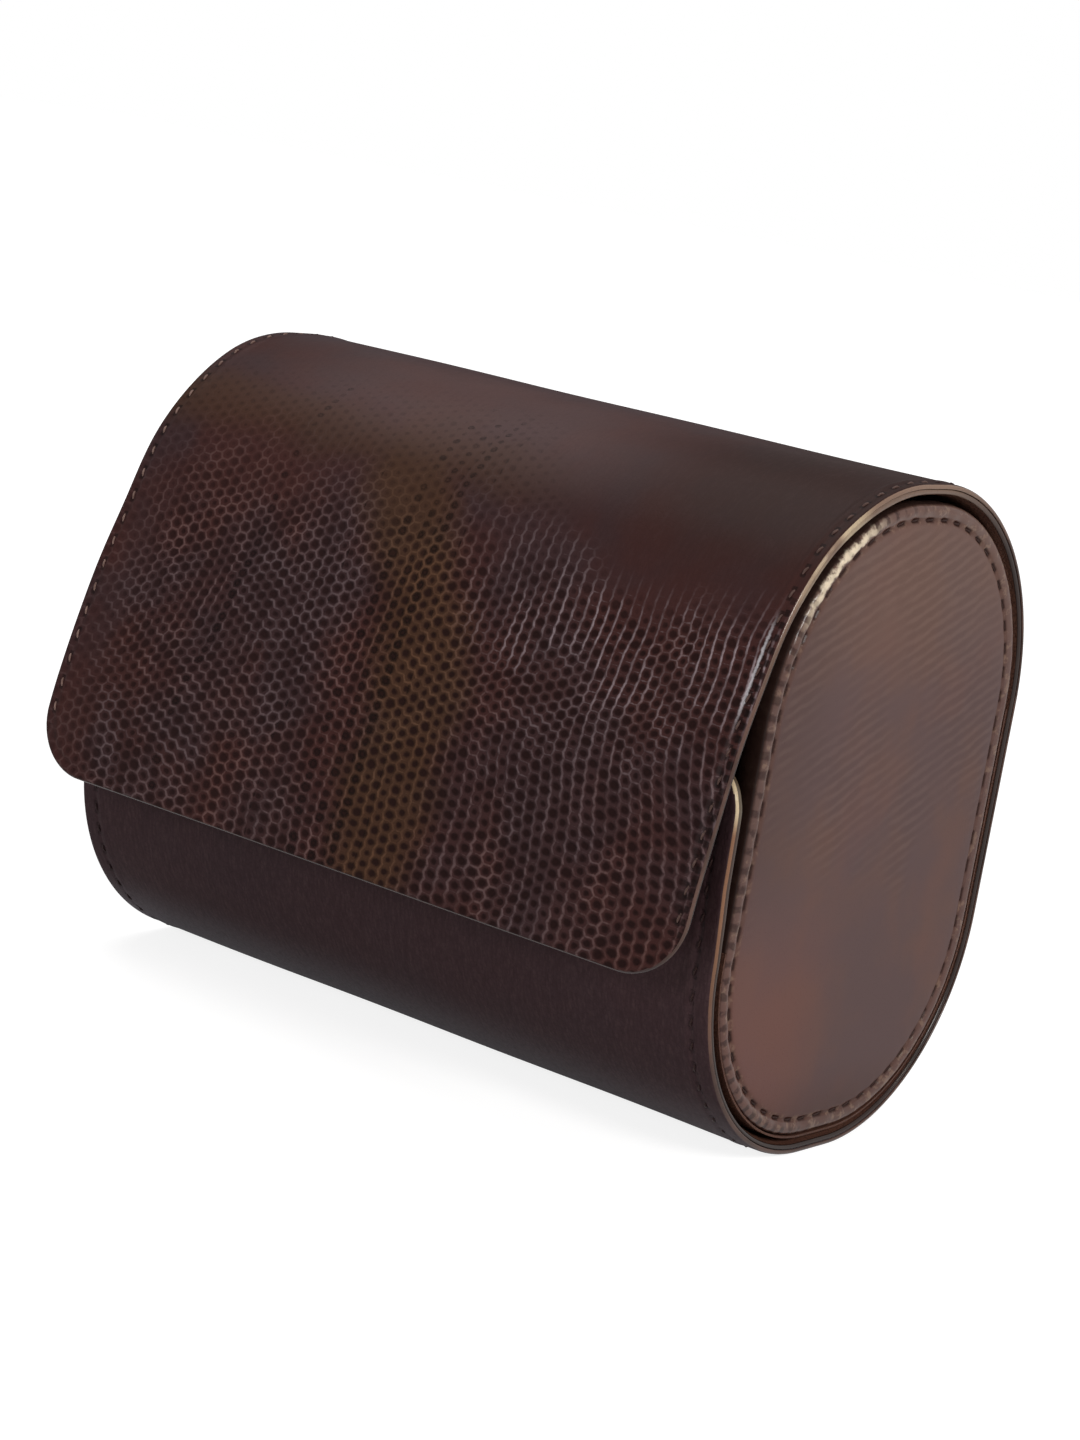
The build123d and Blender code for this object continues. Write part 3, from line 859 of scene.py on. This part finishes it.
# ------ stitches along the rims
STITCH_POINTS = np.linspace(0, 1, 7)
STITCH_SLANT, STITCH_DIVE, STITCH_THIN, STITCH_SWELL = 0.16, 0.32, 0.05, 0.12
SEAM_CLEAR = 6


def rim_stitches(name, start, end, material):
    """Slanted stitches along both rims, each diving into the leather at its ends."""
    parts = []
    t = STITCH_POINTS
    arch = np.sin(math.pi * t)
    for side in (-1, 1):
        for k in range(math.ceil(start / STITCH_PITCH), math.floor(end / STITCH_PITCH)):
            s = STITCH_PITCH * (k + STITCH_FROM + (STITCH_TO - STITCH_FROM) * t)
            x = side * (HALF_LENGTH - seam_inset(s) + STITCH_SLANT * (1 - 2 * t))
            lift = STITCH_DIVE - STITCH_DIVE * arch ** 0.6 - swell(x, s) * 0.4
            parts.append(tube(place(x, s, lift), STITCH_THIN + STITCH_SWELL * arch ** 0.5))
    piece = new_object(name, *gather(parts), [material])
    join_wrap(piece, [])


rim_stitches("rim_stitches_rear", LIP_RUN + SEAM_CLEAR, 0, BODY_THREAD)
rim_stitches("rim_stitches_front", 0, TIP_RUN - SEAM_CLEAR, RIM_THREAD)


# ------ boards, and holes for the sockets
SOCKET_RADIUS, SOCKET_HOLE = 4.8, 4.95
BOARD_INSET, BOARD_STEP, BOARD_COLUMNS = 2.4, 1.2, 41
BOARD_FROM_FOLD, BOARD_FROM_LIP, BOARD_FROM_TIP = 8.5, 6, 9


def nearest_index(point, low, high):
    """Which point of the path is nearest to a point, between two places round the section."""
    return np.argmin(np.hypot(*(PATH - point).T) + HEIGHT * ((RUN < low) | (RUN > high)))


def cut_sockets(piece):
    """Round holes in a layer of the flap where the snap sockets sit."""
    low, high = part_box("snap_sockets")
    middle = (low + high) / 2 / MM
    nearest = nearest_index((middle.y, middle.z), 0, TIP_RUN)
    turn = Vector((0, *NORMAL[nearest])).to_track_quat("Z", "Y").to_matrix().to_4x4()
    work = bmesh.new()
    for side in (-1, 1):
        spot = Vector((side * (high.x / MM - SOCKET_RADIUS), middle.y, middle.z)) * MM
        bmesh.ops.create_cone(
            work, cap_ends=True, segments=48, radius1=SOCKET_HOLE * MM, radius2=SOCKET_HOLE * MM,
            depth=6 * MM, matrix=Matrix.Translation(spot) @ turn)
    mesh = bpy.data.meshes.new("socket_cutter")
    work.to_mesh(mesh)
    work.free()
    cutter = linked("socket_cutter", mesh)
    modify(piece, "BOOLEAN", operation="DIFFERENCE", solver="EXACT", object=cutter)
    apply_modifiers(piece)
    bpy.data.objects.remove(cutter)
    bpy.data.meshes.remove(mesh)


def board(name, start, end, body, node):
    """A stiffener between leather and lining, stopping short of the folds."""
    columns = (HALF_LENGTH - BOARD_INSET) * np.linspace(-1, 1, BOARD_COLUMNS)
    x, s = np.meshgrid(columns, np.linspace(start, end, int((end - start) / BOARD_STEP) + 2))
    verts, *faces = shell(place(x, s, BOARD_FACE), place(x, s, BOARD_BACK))
    piece = new_object(name, verts, np.concatenate(faces), [BOARD])
    if body == "flap":
        cut_sockets(piece)
    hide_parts(node)
    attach(piece, body)


lid_fold, flap_fold = RUN[nearest_index(LID_FOLD, LIP_RUN, 0)], RUN[nearest_index(FLAP_FOLD, 0, TIP_RUN)]
board("board_case", LIP_RUN + BOARD_FROM_LIP, lid_fold - BOARD_FROM_FOLD, "case", "case_board")
board("board_lid", lid_fold + BOARD_FROM_FOLD, flap_fold - BOARD_FROM_FOLD, "lid", "lid_board")
board("board_flap", flap_fold + BOARD_FROM_FOLD, TIP_RUN - BOARD_FROM_TIP, "flap", "flap_board")

cut_sockets(lining_front)
join_wrap(wrap_rear, ["case_leather", "lid_leather"])
join_wrap(wrap_front, ["lid_leather", "flap_leather"])
join_wrap(lining_rear, ["case_lining", "lid_lining"])
join_wrap(lining_front, ["lid_lining", "flap_lining"])


# ------ oval ends
OVAL = join(
    line((0, 0), (BASE_Y, 0)),
    BASE_BACK_TOP,
    arc((-TOP_Y, TOP_Z), TOP_RADIUS, 90, 180),
    line((-DEPTH / 2, TOP_Z), (-DEPTH / 2, BASE_RADIUS)),
    arc((-BASE_Y, BASE_RADIUS), BASE_RADIUS, 180, 270),
    line((-BASE_Y, 0), (0, 0)),
)
OVAL_RUN, OVAL_NORMAL = run_along(OVAL), outward(OVAL)

# the cover in section: in from the panel's edge, and how far out along the case
END_INSET, END_BACK, END_BED = 2.8, 54.4, 56.84
END_PROFILE = [
    (0.06, END_BACK), (-0.06, END_BACK + 0.1), (-0.06, 56.9), (-0.02, 57.15), (0.1, 57.45), (0.25, 57.68),
    (0.45, 57.87), (0.7, 58), (0.95, 58.06), (1.2, 58.07), (1.45, 58.02), (1.65, 57.93), (1.85, 57.82),
    (2, 57.74), (2.15, 57.68), (2.3, 57.66), (2.45, 57.69), (2.6, 57.76), (2.8, 57.84), (3.1, 57.9),
    (3.6, 57.94), (4.6, 57.96), (6, 57.98), (8, 58), (11, 58.02), (14, 58.03), (18, 58.04), (22, 58.05),
    (26, 58.05),
]
END_CORE = (0.35, 0.7, 0.95, 0.99)
END_FACE, END_FIELD = 57.2, 30  # the padded face starts here, and the inset that stands for its open middle
END_BED_INSETS = (0.06, 14)
END_BEAD_FROM, END_BEAD_INSET = 5, 1.9  # first ring and last inset of the polished bead
END_SEAM, END_STITCHES, END_DOTS, END_COUNT = 2.25, 64, 106, 640
END_STITCH_OUT, END_STITCH_RISE, END_STITCH_HALF, END_STITCH_SLANT = 57.24, 0.16, 0.3, 0.14
END_PULL, END_BITE = (np.cos(2 * math.pi * (np.arange(END_COUNT) / END_COUNT) * turns)
                      for turns in (END_STITCHES, END_DOTS))


def oval_ring(count, inset):
    """Points of the oval at an inset, spread evenly along the outer oval."""
    places = np.linspace(0, OVAL_RUN[-1], count, endpoint=False)
    return at_run(places, OVAL_RUN, OVAL) - unit(at_run(places, OVAL_RUN, OVAL_NORMAL)) * inset


def end_height(ring, inset, base):
    """Height round a ring of an end cover, puckered at each stitch."""
    y, z = ring.T
    dot = 0.5 + 0.5 * END_BITE
    slot = 1 / (1 + np.exp(-6 * (END_PULL + 0.1)))
    pucker = -0.3 * bell(inset, END_SEAM, 0.3) * slot
    pucker -= 0.12 * bell(inset, 1.4, 0.7) * (0.5 + 0.5 * END_PULL)
    pucker -= 0.1 * bell(inset, 0.5, 0.35) * dot ** 2 * np.clip(-y / 20, 0, 1)
    pucker -= 0.05 * bell(inset, 3.4, 0.7) * (0.5 + 0.5 * END_PULL)
    slow = 0.09 * np.sin(y / 9 + 0.7) * np.sin(z / 11 + 0.3) + 0.05 * np.sin((y + z) / 6.1)
    return base + pucker + slow * np.clip((inset - 2.2) / 4, 0, 1)


def end_cover(side, name):
    """The cover of one end: turned edge, sewn border, crowned field and an open-backed bed."""
    rings, insets = [], []
    for inset, out in END_PROFILE:
        ring = oval_ring(END_COUNT, END_INSET + inset)
        if out > END_FACE:
            out = end_height(ring, inset, out)
        rings.append(ring_at(side * out, ring))
        insets.append(inset)
    last = rings[-1]
    core = np.stack([last[:, 0], 0 * last[:, 1], np.clip(last[:, 2], BASE_RADIUS, TOP_Z)], 1)
    for t in END_CORE:
        ring = last * (1 - t) + core * t
        ring[:, 0] = side * end_height(ring[:, 1:], END_FIELD, END_PROFILE[-1][1])
        rings.append(ring)
    for inset in END_BED_INSETS:
        rings.append(ring_at(side * END_BED, oval_ring(END_COUNT, END_INSET + inset)))
    count = len(rings)
    insets += [END_FIELD] * (count - len(insets))
    hide = np.stack([np.repeat(insets, END_COUNT), np.tile(END_PULL, count), np.tile(END_BITE, count)], -1)
    faces = bands(END_COUNT, count - 2, [(count - 2, 0), (count - 1, count - 2)])
    faces += [(ring * END_COUNT + np.arange(END_COUNT)).tolist() for ring in (count - 3, count - 1)]
    indices = np.zeros(len(faces), int)
    bead = [i for i, inset in enumerate(insets) if i >= END_BEAD_FROM and inset < END_BEAD_INSET]
    indices[bead[0] * END_COUNT:bead[-1] * END_COUNT] = 1
    leathers = [END_LEATHER, END_BEAD]
    piece = new_object(f"{name}_end_panel", np.concatenate(rings), faces, leathers, indices, hide)
    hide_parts(f"{name}_end_cover")
    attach(piece, "tray")


def end_stitches(side, name):
    """The seam round the border of one end, a stitch in each pucker."""
    t = STITCH_POINTS
    count = 8 * END_COUNT
    edge = oval_ring(count, 0)
    inward = oval_ring(count, 1) - edge
    inset = END_INSET + END_SEAM + END_STITCH_SLANT * (t - 0.5) * 2
    x = side * (END_STITCH_OUT + END_STITCH_RISE * np.sin(math.pi * t) ** 0.6)
    parts = []
    for i in range(END_STITCHES):
        share = ((i - END_STITCH_HALF + 2 * END_STITCH_HALF * t) / END_STITCHES) % 1
        spots = (share * count).astype(int) % count
        yz = edge[spots] + inward[spots] * inset[:, None]
        parts.append(tube(ring_at(x, yz), STITCH_THIN + 0.14 * np.sin(math.pi * t) ** 0.5))
    stitches = new_object(f"{name}_end_stitches", *gather(parts), [END_THREAD])
    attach(stitches, "tray")


for side, name in ((-1, "left"), (1, "right")):
    end_cover(side, name)
    end_stitches(side, name)


# ------ watch cushions
CUSHION_LENGTH, CUSHION_X = 49.7, 27.85
CUSHION_TALL, CUSHION_WIDE = 68, 42
CUSHION_REACH = (CUSHION_TALL - CUSHION_WIDE) / 2
CUSHION_MIDDLE = np.array([7.53, 26.97 + CUSHION_REACH])
CUSHION_COUNT, CUSHION_VOXEL = 96, 2.6
SWELL_CAP, SWELL_FRAMES = 1.6, 20
PIPING_RADIUS, PIPING_INSET, PIPING_COUNT, PIPING_SIDES = 0.75, 1.5, 120, 8


def stadium(count, inset):
    """Points round the cushion's oval, starting at its foot."""
    radius, reach = CUSHION_WIDE / 2 - inset, CUSHION_REACH
    loop = join(
        arc((0, -reach), radius, 270, 360),
        line((radius, -reach), (radius, reach)),
        arc((0, reach), radius, 0, 180),
        line((-radius, reach), (-radius, -reach)),
        arc((0, -reach), radius, 180, 270),
    )
    run = run_along(loop)
    return at_run(np.linspace(0, run[-1], count, endpoint=False), run, loop) + CUSHION_MIDDLE


def points_of(mesh):
    """The points of a mesh, in metres."""
    return np.array([v.co for v in mesh.vertices])


def move_points(piece, points):
    """Put the points of a piece in new places, in metres."""
    piece.data.vertices.foreach_set("co", points.ravel())
    piece.data.update()


def capped(vectors, cap):
    """Vectors cut down to a longest length."""
    length = np.linalg.norm(vectors, axis=1)
    return vectors * (np.minimum(length, cap) / np.maximum(length, 1e-9))[:, None]


def cushion(side, name):
    """A stuffed suede cushion: a band over foam, swollen in a short cloth run."""
    half = CUSHION_LENGTH / 2 - 1.6
    rim = [(9, half), (3.2, half), (1.6, half - 0.6), (1, half - 2.2), (0.9, half / 2)]
    profile = [(inset, -x) for inset, x in rim] + [(0.9, 0)] + rim[::-1]
    rings = [ring_at(side * CUSHION_X + x, stadium(CUSHION_COUNT, inset)) for inset, x in profile]
    faces = closed(CUSHION_COUNT, len(rings))
    piece = new_object(f"{name}_cushion", np.concatenate(rings), faces, [CUSHION_SUEDE])
    modify(piece, "REMESH", mode="VOXEL", voxel_size=CUSHION_VOXEL * MM, use_smooth_shade=True)
    apply_modifiers(piece)
    inflate(piece)
    modify(piece, "SMOOTH", factor=0.5, iterations=3)
    modify(piece, "SUBSURF", levels=1, render_levels=1)
    apply_modifiers(piece)
    hold_in(piece, side)
    piece.data.shade_smooth()
    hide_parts(*[f"{name}_cushion_{part}" for part in ("band", "core", "sides")])
    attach(piece, "tray")
    piping(side, name)


def inflate(piece):
    """Blow the pad up a little as cloth, and cap how far any point moves."""
    cloth = modify(piece, "CLOTH")
    configure(cloth.settings, dict(
        quality=6, mass=0.3, tension_stiffness=18, compression_stiffness=18, shear_stiffness=8,
        bending_stiffness=1.2, use_pressure=True, uniform_pressure_force=4))
    cloth.settings.effector_weights.gravity = 0
    configure(cloth.point_cache, dict(frame_start=1, frame_end=SWELL_FRAMES))
    rest = points_of(piece.data)
    for number in range(1, SWELL_FRAMES + 1):
        bpy.context.scene.frame_set(number)
    moved = points_of(piece.evaluated_get(bpy.context.evaluated_depsgraph_get()).data)
    piece.modifiers.clear()
    move_points(piece, rest + capped(moved - rest, SWELL_CAP * MM))
    bpy.context.scene.frame_set(1)


def hold_in(piece, side):
    """Keep the swollen pad clear of the end wall, the divider and the trough."""
    x, *yz = (points_of(piece.data) / MM).T
    middle, reach = side * CUSHION_X, CUSHION_LENGTH / 2 + 0.9
    x = middle + np.clip(x - middle, -reach, reach)
    yz = np.stack(yz, 1) - CUSHION_MIDDLE
    core = np.clip(yz, (0, -CUSHION_REACH), (0, CUSHION_REACH))
    yz = core + capped(yz - core, CUSHION_WIDE / 2 + 0.12) + CUSHION_MIDDLE
    move_points(piece, ring_at(x, yz) * MM)


def piping(side, name):
    """The corded seam round both sides of a cushion."""
    parts = []
    for end in (-1, 1):
        x = side * CUSHION_X + end * (CUSHION_LENGTH / 2 - 1)
        ring = ring_at(x, stadium(PIPING_COUNT, PIPING_INSET))
        following = unit(np.roll(ring, -1, 0) - np.roll(ring, 1, 0))
        along = np.array([[1, 0, 0]])
        verts = hoops(ring, np.cross(following, along), along, PIPING_RADIUS, PIPING_SIDES)
        parts.append((verts, bands(PIPING_SIDES, PIPING_COUNT, [(PIPING_COUNT - 1, 0)])))
    piece = new_object(f"{name}_cushion_piping", *gather(parts), [LINING])
    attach(piece, "tray")


cushion(-1, "left")
cushion(1, "right")


# ------ finishes of the CAD nodes that stay
def dress(material, slot, *names):
    """Give CAD nodes a material of the scene."""
    for name in names:
        piece = frame["nodes"][name]
        piece.data.materials.clear()
        piece.data.materials.append(material)


dress(BOARD, "greyboard", "tray_board", "divider_board", "left_end_board", "right_end_board")
dress(METAL, "stud_metal", "press_studs", "stud_backs", "snap_sockets", "socket_backs")
dress(SUEDE, "suede", "tray_lining", "left_divider_facing", "right_divider_facing",
      "left_end_facing", "right_end_facing")
dress(LINING, "lining_leather", "tray_skin")


# ------ floor, light and camera
FLOOR_HALF = 3  # metres
CAMERA_SPOT = (0.28176555, -0.39730652, 0.13866378)
CAMERA_FORWARD = (-0.56960461, 0.8010578, -0.18400266)
CAMERA_UP = (-0.24270632, 0.04995579, 0.96881271)
CAMERA_LENS = 83.963


def background_rays(tree):
    """1 for the rays that see the white background: the camera's, and those by way of metal and glass."""
    path = add_node(tree, "LightPath")
    share = path.outputs["Is Camera Ray"]
    for name in ("Is Glossy Ray", "Is Transmission Ray"):
        share = add_node(tree, "Math", {0: share, 1: path.outputs[name]}, operation="MAXIMUM").outputs[0]
    return share


def floor():
    """A floor that renders white and still takes the object's shadow."""
    mesh = bpy.data.meshes.new("floor")
    corners = [(x * FLOOR_HALF, y * FLOOR_HALF, 0) for x, y in ((-1, -1), (1, -1), (1, 1), (-1, 1))]
    mesh.from_pydata(corners, [], [(0, 1, 2, 3)])
    made = linked("floor", mesh)
    material = bpy.data.materials.new("floor")
    material.use_nodes = True
    tree = material.node_tree
    tree.nodes.clear()
    seen = background_rays(tree)
    matte = add_node(tree, "BsdfDiffuse", {"Color": (0.7, 0.7, 0.69, 1)})
    pale = add_node(tree, "BsdfDiffuse", {"Color": (0.34, 0.34, 0.34, 1)})
    glow = add_node(tree, "Emission", {"Color": (1, 1, 1, 1)})
    where = add_node(tree, "TexCoord").outputs["Object"]
    reach = add_node(tree, "VectorMath", {0: where}, operation="LENGTH").outputs["Value"]
    lift = add_node(tree, "MapRange", {
        "From Min": 0.12, "From Max": 0.5, "To Min": 0.84, "To Max": 1, "Value": reach})
    feed(lift.outputs["Result"], glow.inputs["Strength"])
    both = add_node(tree, "AddShader", {0: pale.outputs[0], 1: glow.outputs[0]})
    choose = add_node(tree, "MixShader", {0: seen, 1: matte.outputs[0], 2: both.outputs[0]})
    add_node(tree, "OutputMaterial", {"Surface": choose.outputs[0]})
    mesh.materials.append(material)


def world():
    """Soft light all round, and white where the background is seen."""
    made = bpy.data.worlds.new("studio")
    bpy.context.scene.world = made
    made.use_nodes = True
    tree = made.node_tree
    back = tree.nodes["Background"]
    back.inputs["Color"].default_value = (1, 1, 1, 1)
    level = add_node(tree, "MapRange", {"To Min": 0.28, "To Max": 1})
    feed(background_rays(tree), level.inputs["Value"])
    feed(level.outputs["Result"], back.inputs["Strength"])


def lamp(name, spot, size, power, target=(0, 0, 0.05), colour=(1, 1, 1)):
    """A round area lamp, in metres and watts, aimed at a target."""
    light = bpy.data.lights.new(name, "AREA")
    light.shape, light.size, light.energy, light.color = "DISK", size, power, colour
    made = linked(name, light)
    made.location = spot
    made.rotation_euler = (Vector(target) - Vector(spot)).to_track_quat("-Z", "Y").to_euler()


def camera():
    """The photograph's viewpoint."""
    forward, up = Vector(CAMERA_FORWARD), Vector(CAMERA_UP)
    made = linked("camera", bpy.data.cameras.new("camera"))
    made.data.lens = CAMERA_LENS
    made.data.sensor_width = 36
    made.data.clip_start = 0.01
    made.matrix_world = Matrix.Translation(CAMERA_SPOT) @ Matrix(
        (forward.cross(up), up, -forward)).transposed().to_4x4()
    bpy.context.scene.camera = made


floor()
world()
lamp("key", (0.7, -0.28, 0.48), 0.28, 4, colour=(1, 0.985, 0.96))
lamp("fill", (0, -1, 0.4), 0.3, 2.2, colour=(0.98, 0.98, 1))
lamp("top", (-0.3, 0.15, 0.95), 0.9, 4.6)
lamp("spot", (0.6, 0.15, 0.36), 0.1, 0.6, target=(0.058, -0.02, 0.07), colour=(1, 0.95, 0.82))
camera()
bpy.context.scene.view_settings.view_transform = "Standard"
